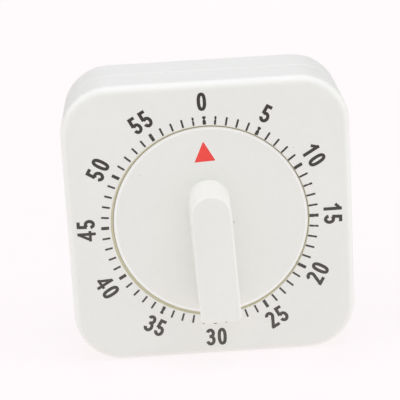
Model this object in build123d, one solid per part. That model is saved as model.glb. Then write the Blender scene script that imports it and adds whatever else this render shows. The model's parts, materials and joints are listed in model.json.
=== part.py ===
"""Mechanical 60-minute laboratory bench timer, in millimetres.

The timer stands upright. X is to the right, +Y runs from the dial towards the back and Z is up. The origin is
the middle of the flat bottom, so the case spans x -35..35, y -13.5..13.5 and z 0..70. The dial faces -Y.
Every axle of the movement runs along Y, and its place is given in the dial's plane from the dial's axle.
"""
import os
from math import acos, atan2, cos, degrees, hypot, pi, radians, sin, tan

from build123d import *

# ---- case ----
CASE_W = 70.0
CASE_H = 70.0
HALF_DEPTH = 13.5
WALL = 2.0
CORNER_R = 12.0
FRONT_EDGE_R = 2.1
REAR_EDGE_R = 1.5
SEAM_CHAMFER = 0.22
LIP_DEPTH = 1.2
LIP_THICK = 0.8
FIT_GAP = 0.1
WINDOW_R = 24.32
WINDOW_EDGE_R = 0.18
LEDGE_R = 24.02
COLLAR_WALL = 1.6
SHAFT_OPENING_R = 3.0
BOSS_OFFSET = 28.3
BOSS_R = 2.6
CASE_SCREW_R = 1.0
CASE_SCREW_HEAD_R = 2.1
CASE_SCREW_HEAD_T = 1.3
CASE_SCREW_SUNK = 1.8
CASE_SCREW_TIP = -7.0
MOUNT_R = 2.5
MOUNT_HOLE_R = 1.1
SLOT_COUNT = 7
SLOT_PITCH = 4.0
SLOT_W = 1.6
SLOT_H = 18.0

# ---- dial ----
DIAL_X = 0.18
DIAL_Z = CASE_H / 2 + 0.08
DIAL_R = 23.87
DIAL_EDGE_R = 0.4
DIAL_TURN = -2.5
HANDLE_HALF_W = 5.05
HANDLE_TOP = 5.4
HANDLE_BOTTOM = -21.85
HANDLE_RISE = 13.3
HANDLE_TAPER = 0.6
HANDLE_CORNER_R = 1.35
HANDLE_EDGE_R = 0.7
HANDLE_FOOT_R = 0.2
HANDLE_WALL = 1.5
HUB_R = 4.0
HUB_SUNK = 0.2
SHAFT_REACH = 7.5
SHAFT_HOLE_REACH = 8.0
SHAFT_FLAT = 1.5
SHAFT_FLAT_GAP = 0.04
POINTER_APEX = 20.3
POINTER_BASE = 15.2
POINTER_HALF_W = 2.57
POINTER_DEPTH = 0.25
POINTER_SUNK = 0.06

# ---- levels along Y, from the dial's face to the back ----
Y_FACE = -HALF_DEPTH
Y_DISC = -13.2
Y_DISC_BACK = -11.2
Y_LEDGE = -12.75
Y_RIM_BACK = -10.2
Y_HUB_BACK = -9.8
Y_PAN = -9.5
Y_PAN_BACK = -7.9
Y_FRONT_PLATE = -7.4
PLATE_T = 1.0
Y_REAR_PLATE = 3.6
Y_BELL_RIM = 5.2
Y_BELL_CROWN = 10.0
Y_COVER_INNER = HALF_DEPTH - WALL

# ---- front and back of each piece of the movement ----
GREAT_Y = (-6.1, -5.1)
RATCHET_Y = (-5.0, -4.4)
CLICK_HEAD_Y = (-4.35, -4.1)
CLICK_SPRING_Y = (-5.1, -4.5)
CAM_Y = (-3.9, -3.1)
BARREL_TOOTH_Y = (-2.4, -1.4)
BARREL_WALL_Y = (-1.4, 2.6)
BARREL_COVER_Y = (2.6, 3.2)
MAINSPRING_Y = (-0.9, 2.2)
SECOND_PINION_Y = (-6.3, -4.8)
SECOND_SEAT_Y = (-3.9, -2.9)
SECOND_WHEEL_Y = (-3.6, -2.9)
THIRD_PINION_Y = (-3.9, -2.6)
THIRD_SEAT_Y = (-1.6, -0.5)
THIRD_WHEEL_Y = (-1.2, -0.5)
ESCAPE_PINION_Y = (-1.5, -0.2)
ESCAPE_SEAT_Y = (0.6, 1.6)
ESCAPE_WHEEL_Y = (1.0, 1.6)
ANCHOR_SEAT_Y = (-4.6, 2.7)
PALLET_Y = (2.0, 2.6)
PALLET_PIN_Y = (0.8, 2.6)
BALANCE_Y = (-4.5, -3.6)
STRIKE_PINION_Y = (-2.7, -1.1)
STRIKE_SEAT_Y = (-4.2, -2.7)
HAMMER_SEAT_Y = (-4.2, -3.1)
HAMMER_ARM_Y = (4.9, 5.6)
HAMMER_HEAD_Y = (5.6, 9.0)
DETENT_SPRING_Y = (-3.8, -3.2)

# ---- movement: gears and the places of the axles ----
PRESSURE_ANGLE = radians(20)
BACKLASH = 0.05
COARSE = 0.5
FINE = 0.4
GREAT_TEETH = 60
SECOND_PINION_TEETH = 10
WHEEL_TEETH = 48
PINION_TEETH = 8
BARREL_TEETH = 60
STRIKE_PINION_TEETH = 12
ESCAPE_TEETH = 24
ESCAPE_R = 6.0
ESCAPE_ROOT_R = 4.9
STAR_TEETH = 12
STAR_R = 4.5
STAR_ROOT_R = 3.3
RATCHET_TEETH = 20
RATCHET_R = 6.0
RATCHET_ROOT_R = 5.0
CAM_R = 6.5
SHAFT_R = 0.8
SEAT_R = 1.0
PIVOT_R = 0.45
PIVOT_GAP = 0.03
PIVOT_LENGTH = 0.2
PIVOT_SHORT = 0.1
BEARING_GAP = 0.05
MAIN_SHAFT_R = 1.9
MAIN_BORE_R = MAIN_SHAFT_R + 0.01
MAIN_PIVOT_R = 1.2
SECOND_DIRECTION = 121.8
THIRD_DIRECTION = 171.1
ESCAPE_DIRECTION = 254.5
ANCHOR_DIRECTION = 268.0
ANCHOR_DISTANCE = 8.0
STRIKE_DIRECTION = -35.0
PILLAR_R = 1.8
PLATE_HALF_W = 30.0
PLATE_HALF_H = 29.0
PLATE_CORNER_SUM = 50.0
PLATE_MOUNT_RADIUS = 19.0
PLATE_SCREW_R = 1.0
DRUM_R = 13.6
DRUM_BORE_R = 12.8
CLICK_STUD_R = 0.6
CLICK_SLEEVE_R = 0.8
DETENT_RIVET_R = 0.7
DETENT_STUD_R = 1.0
BALANCE_R = 6.5
BALANCE_RIM = 1.5
PIN_R = 0.22
PIN_SPREAD = 18.75
BELL_R = 19.0
BELL_WALL = 0.7
BELL_EDGE_R = 3.0
BELL_SCREW_R = 1.0
HAMMER_HEAD_R = 1.8
HAMMER_RIVET_R = 0.5
HAMMER_HUB_R = 2.0


def polar(centre, distance, direction):
    """The point at a distance and a direction in degrees from a centre."""
    angle = radians(direction)
    return (centre[0] + distance * cos(angle), centre[1] + distance * sin(angle))


MAIN = (0.0, 0.0)
SECOND = polar(MAIN, COARSE * (GREAT_TEETH + SECOND_PINION_TEETH) / 2, SECOND_DIRECTION)
THIRD = polar(SECOND, FINE * (WHEEL_TEETH + PINION_TEETH) / 2, THIRD_DIRECTION)
ESCAPE = polar(THIRD, FINE * (WHEEL_TEETH + PINION_TEETH) / 2, ESCAPE_DIRECTION)
ANCHOR = polar(ESCAPE, ANCHOR_DISTANCE, ANCHOR_DIRECTION)
STRIKE = polar(MAIN, COARSE * (BARREL_TEETH + STRIKE_PINION_TEETH) / 2, STRIKE_DIRECTION)
CLICK = (5.3, 8.0)
HAMMER = (22.0, -22.0)
HAMMER_HEAD = (3.5, -19.9)
DETENT = (-12.5, -12.5)
BELL = (6.0, 2.0)
PILLARS = [(8.0, 26.0), (-27.0, -14.0), (-8.0, -26.0), (27.0, 14.0)]
BOSSES = [(x, z) for x in (-BOSS_OFFSET, BOSS_OFFSET) for z in (-BOSS_OFFSET, BOSS_OFFSET)]
PLATE_MOUNTS = [polar(MAIN, PLATE_MOUNT_RADIUS, direction) for direction in (60, 180, 300)]
PALLET_PINS = [polar(ESCAPE, ESCAPE_R + PIN_R + 0.1, ANCHOR_DIRECTION + side * PIN_SPREAD) for side in (-1, 1)]

# ---- where the first tooth of each wheel points, in degrees ----
GREAT_TOOTH = 0.0
BARREL_TOOTH = 0.0
SECOND_WHEEL_TOOTH = 0.0
THIRD_WHEEL_TOOTH = 0.0


# ---- basic shapes, drawn in the dial's plane ----
def prism(sketch, y_front, y_back, about_case=False):
    """A flat outline drawn in X and Z, given thickness from y_front to y_back."""
    x, z = (0, CASE_H / 2) if about_case else (DIAL_X, DIAL_Z)
    plane = Plane(origin=(x, y_back, z), x_dir=(1, 0, 0), z_dir=(0, -1, 0))
    return extrude(plane * sketch, amount=y_back - y_front)


def rod(point, radius, y_front, y_back):
    """A round bar along Y."""
    return prism(Pos(*point) * Circle(radius), y_front, y_back)


def outline(points):
    """A closed outline with straight sides."""
    return make_face(Polyline(*points, close=True))


def square(inset):
    """The case's outline, inset from its outer wall."""
    return RectangleRounded(CASE_W - 2 * inset, CASE_H - 2 * inset, CORNER_R - inset)


def about_dial(shape):
    """Turn a piece of the dial with its pointer's small offset from the zero mark."""
    axis = Axis((DIAL_X, 0, DIAL_Z), (0, 1, 0))
    return shape.rotate(axis, DIAL_TURN)


# ---- teeth ----
def involute(angle):
    return tan(angle) - angle


def gear(teeth, module, addendum, dedendum, first_tooth=0.0):
    """A spur gear's outline, with one tooth centred on the direction first_tooth, in degrees."""
    pitch_r = teeth * module / 2
    base_r = pitch_r * cos(PRESSURE_ANGLE)
    tip_r = pitch_r + addendum
    root_r = pitch_r - dedendum
    radii = [root_r, max(base_r, root_r + 0.02), pitch_r, (pitch_r + tip_r) / 2, tip_r]
    flank = []
    for radius in radii:
        flank_angle = acos(min(1.0, base_r / radius))
        half = pi / (2 * teeth) - BACKLASH / (2 * pitch_r) + involute(PRESSURE_ANGLE) - involute(flank_angle)
        flank.append((radius, degrees(half)))
    points = []
    for tooth in range(teeth):
        middle = first_tooth + 360 / teeth * tooth
        points += [polar(MAIN, radius, middle - half) for radius, half in flank]
        points += [polar(MAIN, radius, middle + half) for radius, half in reversed(flank)]
    return outline(points)


def mating_tooth(driver_teeth, driver_tooth, teeth, direction):
    """Where a gear's first tooth points when it meshes with a driver that lies in the opposite direction."""
    share = (direction - driver_tooth) * driver_teeth / 360
    return direction + 180 - (0.5 - share) * 360 / teeth


def star(teeth, tip_r, root_r, tip_half, root_half, first_tooth=0.0):
    """A wheel with narrow pointed teeth; the half widths are in degrees."""
    points = []
    for tooth in range(teeth):
        middle = first_tooth + 360 / teeth * tooth
        points += [polar(MAIN, root_r, middle - root_half), polar(MAIN, tip_r, middle - tip_half)]
        points += [polar(MAIN, tip_r, middle + tip_half), polar(MAIN, root_r, middle + root_half)]
    return outline(points)


def holes(count, radius, ring_r, start=0.0):
    """A ring of round holes."""
    ring = [polar(MAIN, ring_r, start + 360 / count * i) for i in range(count)]
    return [Pos(*point) * Circle(radius) for point in ring]


def wheel(blank, bore_r, hole_count, hole_r, ring_r):
    """A gear outline with a bore and a ring of lightening holes."""
    return blank - Circle(bore_r) - holes(hole_count, hole_r, ring_r)


# ---- the case ----
def front_case():
    shell = prism(square(0), Y_FACE, 0, about_case=True)
    shell = fillet(shell.edges().group_by(Axis.Y)[0], FRONT_EDGE_R)
    shell = chamfer(shell.edges().group_by(Axis.Y)[-1], SEAM_CHAMFER)
    shell -= prism(square(WALL), Y_FACE + WALL, 0, about_case=True)
    collar = Circle(WINDOW_R + COLLAR_WALL)
    shell += prism(collar, Y_FACE + WALL, Y_PAN_BACK, about_case=True)
    bosses = [prism(Pos(*p) * Circle(BOSS_R), Y_FACE + WALL, 0, about_case=True) for p in BOSSES]
    shell = shell + bosses
    shell -= [prism(Pos(*p) * Circle(CASE_SCREW_R), Y_PAN, 0, about_case=True) for p in BOSSES]
    shell -= prism(Circle(WINDOW_R), Y_FACE, Y_LEDGE, about_case=True)
    shell -= rod(MAIN, LEDGE_R, Y_LEDGE, Y_PAN)
    window = [e for e in shell.edges() if e.geom_type == GeomType.CIRCLE and abs(e.radius - WINDOW_R) < 0.01]
    shell = fillet([e for e in window if abs(e.center().Y - Y_FACE) < 0.01], WINDOW_EDGE_R)
    shell += [rod(p, MOUNT_R, Y_PAN_BACK, Y_FRONT_PLATE) for p in PLATE_MOUNTS]
    shell -= [rod(p, MOUNT_HOLE_R, Y_PAN, Y_FRONT_PLATE) for p in PLATE_MOUNTS]
    return shell - rod(MAIN, SHAFT_OPENING_R, Y_PAN, Y_PAN_BACK)


def rear_cover():
    shell = prism(square(0), 0, HALF_DEPTH, about_case=True)
    shell = fillet(shell.edges().group_by(Axis.Y)[-1], REAR_EDGE_R)
    shell = chamfer(shell.edges().group_by(Axis.Y)[0], SEAM_CHAMFER)
    shell -= prism(square(WALL), 0, Y_COVER_INNER, about_case=True)
    bosses = [prism(Pos(*p) * Circle(BOSS_R), 0, Y_COVER_INNER, about_case=True) for p in BOSSES]
    shell = shell + bosses
    inner = square(WALL + FIT_GAP + LIP_THICK)
    lip = prism(square(WALL + FIT_GAP) - inner, -LIP_DEPTH, LIP_DEPTH, about_case=True)
    lip += prism(square(WALL - FIT_GAP) - inner, 0.4, LIP_DEPTH, about_case=True)
    reach = BOSS_R + 0.4
    lip -= [prism(Pos(*p) * Circle(reach), -LIP_DEPTH, 0, about_case=True) for p in BOSSES]
    shell = shell + lip
    for point in BOSSES:
        place = Pos(*point)
        shell -= prism(place * Circle(CASE_SCREW_R + 0.15), 0, HALF_DEPTH, about_case=True)
        seat = HALF_DEPTH - CASE_SCREW_SUNK
        shell -= prism(place * Circle(CASE_SCREW_HEAD_R + 0.3), seat, HALF_DEPTH, about_case=True)
    for i in range(SLOT_COUNT):
        x = (i - (SLOT_COUNT - 1) / 2) * SLOT_PITCH
        slot = Pos(x, 0) * SlotOverall(SLOT_H, SLOT_W, rotation=90)
        shell -= prism(slot, Y_COVER_INNER, HALF_DEPTH, about_case=True)
    return shell


def screw(place, radius, head_r, y_head, head_t, y_tip):
    """A pan-head screw along Y with a cross slot; y_head is the face that its head presses on."""
    outward = 1 if y_head > y_tip else -1
    head_face = y_head + outward * head_t
    shank = rod(place, radius, min(y_tip, y_head), max(y_tip, y_head))
    head = rod(place, head_r, min(y_head, head_face), max(y_head, head_face))
    bar = Rectangle(head_r * 1.2, head_r * 0.3)
    cross = Pos(*place) * (bar + Rot(0, 0, 90) * bar)
    depth = head_t * 0.6
    front, back = sorted((head_face, head_face - outward * depth))
    return shank + head - prism(cross, front, back)


def case_screws():
    y_head = HALF_DEPTH - CASE_SCREW_SUNK
    places = [(x - DIAL_X, z + CASE_H / 2 - DIAL_Z) for x, z in BOSSES]
    sizes = (CASE_SCREW_R, CASE_SCREW_HEAD_R, y_head, CASE_SCREW_HEAD_T, CASE_SCREW_TIP)
    return [screw(p, *sizes) for p in places]


def movement_screws():
    y_tip = Y_FRONT_PLATE + PLATE_T + 0.5
    return [screw(p, PLATE_SCREW_R, 2.0, Y_PAN, 0.7, y_tip) for p in PLATE_MOUNTS]


# ---- the dial ----
def handle_outline(inset):
    """The bar handle's outline: round at the top, square with small corners at the bottom."""
    half = HANDLE_HALF_W - inset
    bottom = HANDLE_BOTTOM + inset
    bar = Pos(0, (HANDLE_TOP + bottom) / 2) * Rectangle(2 * half, HANDLE_TOP - bottom)
    lower = bar.vertices().group_by(Axis.Y)[0]
    return fillet(lower, max(HANDLE_CORNER_R - inset, 0.3)) + Pos(0, HANDLE_TOP) * Circle(half)


def flatted(radius, flat):
    """A round shaft's section with one flat on its upper side, at a height above the axis."""
    return Circle(radius) & (Pos(0, flat - 2 * radius) * Rectangle(4 * radius, 4 * radius))


def dial_knob():
    disc = rod(MAIN, DIAL_R, Y_DISC, Y_RIM_BACK)
    disc = fillet(disc.edges().group_by(Axis.Y)[0], DIAL_EDGE_R)
    disc -= rod(MAIN, DIAL_R - HANDLE_WALL, Y_DISC_BACK, Y_RIM_BACK)
    plane = Plane(origin=(DIAL_X, Y_DISC, DIAL_Z), x_dir=(1, 0, 0), z_dir=(0, -1, 0))
    handle = extrude(plane * handle_outline(0), amount=HANDLE_RISE, taper=HANDLE_TAPER)
    handle = fillet(handle.edges().group_by(Axis.Y)[0], HANDLE_EDGE_R)
    knob = disc + handle
    foot = [e for e in knob.edges() if abs(e.center().Y - Y_DISC) < 0.01]
    foot = [e for e in foot if hypot(e.center().X - DIAL_X, e.center().Z - DIAL_Z) < DIAL_R - DIAL_EDGE_R - 0.1]
    knob = fillet(foot, HANDLE_FOOT_R)
    inner = Plane(origin=(DIAL_X, Y_DISC_BACK, DIAL_Z), x_dir=(1, 0, 0), z_dir=(0, -1, 0))
    depth = HANDLE_RISE + (Y_DISC_BACK - Y_DISC) - HANDLE_WALL
    hollow = extrude(inner * handle_outline(HANDLE_WALL), amount=depth, taper=HANDLE_TAPER)
    hollow -= rod(MAIN, HUB_R, Y_DISC - HANDLE_RISE, Y_HUB_BACK)
    knob -= hollow
    knob += rod(MAIN, HUB_R, Y_DISC_BACK - HUB_SUNK, Y_HUB_BACK)
    knob -= prism(flatted(MAIN_SHAFT_R + 0.02, SHAFT_FLAT), Y_DISC - SHAFT_HOLE_REACH, Y_HUB_BACK)
    return about_dial(knob - prism(pointer_outline(0), Y_DISC, Y_DISC + POINTER_DEPTH))


def pointer_outline(inset):
    """The pointer's triangle, with its apex outwards."""
    base = POINTER_BASE + inset
    apex = POINTER_APEX - 2.2 * inset
    half = POINTER_HALF_W - 1.6 * inset
    triangle = outline([(-half, base), (half, base), (0, apex)])
    return fillet(triangle.vertices(), 0.15)


def dial_pointer():
    return about_dial(prism(pointer_outline(0.02), Y_DISC + POINTER_SUNK, Y_DISC + POINTER_DEPTH))


def dial_washer():
    return prism(Circle(5.0) - Circle(MAIN_SHAFT_R + 0.3), Y_PAN - 0.25, Y_PAN)


# ---- plates, pillars and the screws that hold them ----
def plate_outline():
    corner_x = PLATE_CORNER_SUM - PLATE_HALF_H
    corner_z = PLATE_CORNER_SUM - PLATE_HALF_W
    right = [(PLATE_HALF_W, -corner_z), (PLATE_HALF_W, corner_z), (corner_x, PLATE_HALF_H)]
    left = [(-corner_x, PLATE_HALF_H), (-PLATE_HALF_W, corner_z), (-PLATE_HALF_W, -corner_z)]
    return outline(right + left + [(-corner_x, -PLATE_HALF_H), (corner_x, -PLATE_HALF_H)])


def pierced(sketch, main_hole_r):
    """A movement plate with the holes that its axles turn in."""
    sketch -= Circle(main_hole_r)
    axles = [SECOND, THIRD, ESCAPE, ANCHOR, STRIKE]
    return sketch - [Pos(*p) * Circle(PIVOT_R + PIVOT_GAP) for p in axles]


def front_plate():
    sketch = pierced(plate_outline(), MAIN_SHAFT_R + BEARING_GAP) - Pos(*HAMMER) * Circle(PIVOT_R + PIVOT_GAP)
    sketch -= [Pos(*p) * Circle(PLATE_SCREW_R) for p in PLATE_MOUNTS + PILLARS]
    return prism(sketch - Pos(*DETENT) * Circle(DETENT_RIVET_R), Y_FRONT_PLATE, Y_FRONT_PLATE + PLATE_T)


def rear_plate():
    sketch = pierced(plate_outline(), MAIN_PIVOT_R + BEARING_GAP) - Pos(*HAMMER) * Circle(SHAFT_R + BEARING_GAP)
    sketch -= [Pos(*p) * Circle(PLATE_SCREW_R) for p in PILLARS + [BELL]]
    return prism(sketch, Y_REAR_PLATE, Y_REAR_PLATE + PLATE_T)


def plate_pillars():
    """Each pillar's front end is riveted in the front plate; its back end takes a screw."""
    pieces = []
    for place in PILLARS:
        body = rod(place, PILLAR_R, Y_FRONT_PLATE + PLATE_T, Y_REAR_PLATE)
        body += rod(place, PLATE_SCREW_R, Y_FRONT_PLATE, Y_FRONT_PLATE + PLATE_T)
        pieces.append(body - rod(place, PLATE_SCREW_R, Y_REAR_PLATE - 5.0, Y_REAR_PLATE))
    return pieces


def pillar_screws():
    y_head = Y_REAR_PLATE + PLATE_T
    return [screw(p, PLATE_SCREW_R, 1.7, y_head, 0.8, Y_REAR_PLATE - 4.0) for p in PILLARS]


# ---- the main axle and what turns with the dial ----
def main_arbor():
    y_back = Y_REAR_PLATE + PLATE_T
    y_shoulder = Y_REAR_PLATE - PIVOT_LENGTH
    section = flatted(MAIN_SHAFT_R, SHAFT_FLAT - SHAFT_FLAT_GAP)
    shaft = about_dial(prism(section, Y_DISC - SHAFT_REACH, Y_HUB_BACK))
    shaft += rod(MAIN, MAIN_SHAFT_R, Y_HUB_BACK, y_shoulder)
    return shaft + rod(MAIN, MAIN_PIVOT_R, y_shoulder, y_back)


def great_wheel():
    blank = gear(GREAT_TEETH, COARSE, 0.6 * COARSE, 1.25 * COARSE, GREAT_TOOTH)
    blank = blank - Circle(MAIN_BORE_R) - holes(6, 2.4, 11.0, 30)
    return prism(blank - Pos(*CLICK) * Circle(CLICK_STUD_R), *GREAT_Y)


def ratchet_outline():
    """Sawteeth with their steep faces on the counter-clockwise side."""
    points = []
    for tooth in range(RATCHET_TEETH):
        direction = -360 / RATCHET_TEETH * tooth
        points += [polar(MAIN, RATCHET_ROOT_R, direction), polar(MAIN, RATCHET_R, direction)]
    return outline(points)


def ratchet_wheel():
    return prism(ratchet_outline() - Circle(MAIN_BORE_R), *RATCHET_Y)


def click_pawl():
    nose = [(5.15, 0.09), (6.7, 0.09), (7.3, 3.2), (6.6, 8.6), (4.0, 8.6), (6.1, 3.0), (5.97, 1.8)]
    sketch = outline(nose) + Pos(*CLICK) * Circle(1.6)
    return prism(sketch - Pos(*CLICK) * Circle(CLICK_SLEEVE_R + BEARING_GAP), *RATCHET_Y)


def click_stud():
    """The rivet in the great wheel that the click turns on."""
    stud = rod(CLICK, CLICK_STUD_R, *GREAT_Y) + rod(CLICK, CLICK_SLEEVE_R, GREAT_Y[1], CLICK_HEAD_Y[0])
    return stud + rod(CLICK, 1.3, *CLICK_HEAD_Y)


def click_spring():
    """A thin leaf from a block on the great wheel to the back of the click."""
    block = Pos(9.6, -1.6) * Rectangle(1.6, 1.6)
    leaf = outline([(8.8, -1.0), (9.0, -1.0), (7.6, 3.4), (7.4, 3.4)]) + block
    return prism(leaf, *CLICK_SPRING_Y)


def release_cam():
    notch = Pos(0, -CAM_R) * Rectangle(5.0, 3.0)
    return prism(Circle(CAM_R) - notch - Circle(MAIN_BORE_R), *CAM_Y)


# ---- the spring drum ----
def spring_barrel():
    blank = gear(BARREL_TEETH, COARSE, 0.6 * COARSE, 1.25 * COARSE, BARREL_TOOTH)
    drum = prism(blank, *BARREL_TOOTH_Y) + prism(Circle(DRUM_R) - Circle(DRUM_BORE_R), *BARREL_WALL_Y)
    return drum - rod(MAIN, MAIN_SHAFT_R + BEARING_GAP, *BARREL_TOOTH_Y)


def barrel_cover():
    sketch = Circle(DRUM_R) - Circle(MAIN_SHAFT_R + BEARING_GAP) - holes(4, 1.5, 8.0)
    return prism(sketch, *BARREL_COVER_Y)


def mainspring():
    """A coiled strip of half turns, each a little wider than the one before, centred to either side in turn."""
    half_turns = 22
    first_r = 3.0
    growth = 0.42
    strip = 0.22
    pieces = []
    centre = 0.0
    for i in range(half_turns):
        radius = first_r + growth * i
        side = 1 if i % 2 == 0 else -1
        ring = Pos(centre, 0) * (Circle(radius + strip / 2) - Circle(radius - strip / 2))
        box = Pos(centre, side * 20) * Rectangle(60, 40)
        pieces.append(ring & box)
        centre -= growth if side > 0 else -growth
    coil = pieces[0]
    for piece in pieces[1:]:
        coil += piece
    return prism(coil, *MAINSPRING_Y)


# ---- the going train ----
def arbor(place, seat_y, pinion=None, pinion_y=None):
    """An axle with a seat for its wheel, a thin pivot at each end and, mostly, a pinion cut on it."""
    y_front = Y_FRONT_PLATE + PLATE_T + PIVOT_LENGTH
    y_back = Y_REAR_PLATE - PIVOT_LENGTH
    body = rod(place, SHAFT_R, y_front, y_back) + rod(place, SEAT_R, *seat_y)
    body += rod(place, PIVOT_R, Y_FRONT_PLATE + PIVOT_SHORT, y_front)
    body += rod(place, PIVOT_R, y_back, Y_REAR_PLATE + PLATE_T - PIVOT_SHORT)
    if pinion is not None:
        body += prism(Pos(*place) * pinion, *pinion_y)
    return body


SECOND_PINION_TOOTH = mating_tooth(GREAT_TEETH, GREAT_TOOTH, SECOND_PINION_TEETH, SECOND_DIRECTION)
THIRD_PINION_TOOTH = mating_tooth(WHEEL_TEETH, SECOND_WHEEL_TOOTH, PINION_TEETH, THIRD_DIRECTION)
ESCAPE_PINION_TOOTH = mating_tooth(WHEEL_TEETH, THIRD_WHEEL_TOOTH, PINION_TEETH, ESCAPE_DIRECTION)
STRIKE_PINION_TOOTH = mating_tooth(BARREL_TEETH, BARREL_TOOTH, STRIKE_PINION_TEETH, STRIKE_DIRECTION)


def small_pinion(first_tooth):
    return gear(PINION_TEETH, FINE, FINE, 0.73 * FINE, first_tooth)


def train_wheel(place, first_tooth, wheel_y):
    blank = gear(WHEEL_TEETH, FINE, 0.48 * FINE, 1.25 * FINE, first_tooth)
    return prism(Pos(*place) * wheel(blank, SEAT_R, 5, 2.1, 5.6), *wheel_y)


def second_arbor():
    pinion = gear(SECOND_PINION_TEETH, COARSE, COARSE, 0.9 * COARSE, SECOND_PINION_TOOTH)
    return arbor(SECOND, SECOND_SEAT_Y, pinion, SECOND_PINION_Y)


def second_wheel():
    return train_wheel(SECOND, SECOND_WHEEL_TOOTH, SECOND_WHEEL_Y)


def third_arbor():
    return arbor(THIRD, THIRD_SEAT_Y, small_pinion(THIRD_PINION_TOOTH), THIRD_PINION_Y)


def third_wheel():
    return train_wheel(THIRD, THIRD_WHEEL_TOOTH, THIRD_WHEEL_Y)


def escape_arbor():
    return arbor(ESCAPE, ESCAPE_SEAT_Y, small_pinion(ESCAPE_PINION_TOOTH), ESCAPE_PINION_Y)


def escape_wheel():
    first = ANCHOR_DIRECTION + 180 / ESCAPE_TEETH
    blank = star(ESCAPE_TEETH, ESCAPE_R, ESCAPE_ROOT_R, 0.7, 2.6, first)
    return prism(Pos(*ESCAPE) * wheel(blank, SEAT_R, 4, 1.2, 3.0), *ESCAPE_WHEEL_Y)


# ---- the rocking regulator ----
def anchor_arbor():
    return arbor(ANCHOR, ANCHOR_SEAT_Y)


def bar_between(start, end, half_width):
    """A flat bar with round ends between two points."""
    length = hypot(end[0] - start[0], end[1] - start[1])
    middle = ((start[0] + end[0]) / 2, (start[1] + end[1]) / 2)
    direction = degrees(atan2(end[1] - start[1], end[0] - start[0]))
    return Pos(*middle) * SlotCenterToCenter(length, 2 * half_width, rotation=direction)


def pallet_anchor():
    sketch = Pos(*ANCHOR) * Circle(1.9)
    for pin in PALLET_PINS:
        sketch += bar_between(ANCHOR, pin, 0.55)
    for pin in PALLET_PINS:
        sketch -= Pos(*pin) * Circle(PIN_R)
    return prism(sketch - Pos(*ANCHOR) * Circle(SEAT_R), *PALLET_Y)


def pallet_pins():
    return [rod(pin, PIN_R, *PALLET_PIN_Y) for pin in PALLET_PINS]


def balance_weight():
    """A rim with one crossbar, heavy at its edge, that sets the beat."""
    rim = Circle(BALANCE_R) - Circle(BALANCE_R - BALANCE_RIM)
    weight = rim + Rectangle(2 * BALANCE_R - BALANCE_RIM, 1.8) + Circle(2 * SEAT_R)
    return prism(Pos(*ANCHOR) * (weight - Circle(SEAT_R)), *BALANCE_Y)


# ---- the bell train ----
def strike_arbor():
    pinion = gear(STRIKE_PINION_TEETH, COARSE, COARSE, 0.85 * COARSE, STRIKE_PINION_TOOTH)
    return arbor(STRIKE, STRIKE_SEAT_Y, pinion, STRIKE_PINION_Y)


def strike_wheel():
    blank = star(STAR_TEETH, STAR_R, STAR_ROOT_R, 3.0, 8.0)
    return prism(Pos(*STRIKE) * (blank - Circle(SEAT_R)), *CAM_Y)


def hammer_arbor():
    """It reaches through the rear plate to carry the hammer behind it."""
    y_shoulder = Y_FRONT_PLATE + PLATE_T + PIVOT_LENGTH
    body = rod(HAMMER, PIVOT_R, Y_FRONT_PLATE + PIVOT_SHORT, y_shoulder)
    body += rod(HAMMER, SHAFT_R, y_shoulder, HAMMER_ARM_Y[1] + 0.1)
    return body + rod(HAMMER, SEAT_R, *HAMMER_SEAT_Y)


def hammer_tail():
    """The finger that the star wheel kicks."""
    reach = hypot(STRIKE[0] - HAMMER[0], STRIKE[1] - HAMMER[1]) - STAR_R - 0.2
    direction = degrees(atan2(STRIKE[1] - HAMMER[1], STRIKE[0] - HAMMER[0]))
    tip = polar(HAMMER, reach - 0.7, direction)
    sketch = Pos(*HAMMER) * Circle(HAMMER_HUB_R) + bar_between(HAMMER, tip, 0.7)
    return prism(sketch - Pos(*HAMMER) * Circle(SEAT_R), *CAM_Y)


def hammer_arm():
    sketch = Pos(*HAMMER) * Circle(HAMMER_HUB_R) + bar_between(HAMMER, HAMMER_HEAD, 0.8)
    sketch -= Pos(*HAMMER_HEAD) * Circle(HAMMER_RIVET_R)
    return prism(sketch - Pos(*HAMMER) * Circle(SHAFT_R), *HAMMER_ARM_Y)


def hammer_head():
    rivet = rod(HAMMER_HEAD, HAMMER_RIVET_R, *HAMMER_ARM_Y)
    return rod(HAMMER_HEAD, HAMMER_HEAD_R, *HAMMER_HEAD_Y) + rivet


def detent_lever():
    """It rides on the cam; in the cam's notch it drops and lets the star wheel go."""
    lower = [(-12.5, -14.4), (-1.0, -10.2), (9.6, -12.6)]
    upper = [(9.8, -11.6), (1.6, -8.8), (1.0, -6.64), (-1.0, -6.64), (-1.8, -8.5), (-12.0, -10.7)]
    sketch = outline(lower + upper) + Pos(*DETENT) * Circle(2.2)
    return prism(sketch - Pos(*DETENT) * Circle(DETENT_STUD_R + BEARING_GAP), *CAM_Y)


def detent_stud():
    y_shoulder = CAM_Y[0] - 0.1
    y_head = CAM_Y[1] + 0.1
    stud = rod(DETENT, DETENT_RIVET_R, Y_FRONT_PLATE, Y_FRONT_PLATE + PLATE_T)
    stud += rod(DETENT, 1.6, Y_FRONT_PLATE + PLATE_T, y_shoulder)
    return stud + rod(DETENT, DETENT_STUD_R, y_shoulder, y_head) + rod(DETENT, 1.5, y_head, y_head + 0.3)


def detent_spring():
    """A leaf from a post on the front plate to the underside of the lever."""
    post = (-4.0, -18.2)
    leaf = outline([(-4.6, -18.0), (-4.6, -18.3), (-9.6, -13.72), (-9.6, -13.42)])
    return rod(post, 0.8, Y_FRONT_PLATE + PLATE_T, DETENT_SPRING_Y[1]) + prism(leaf, *DETENT_SPRING_Y)


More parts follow.
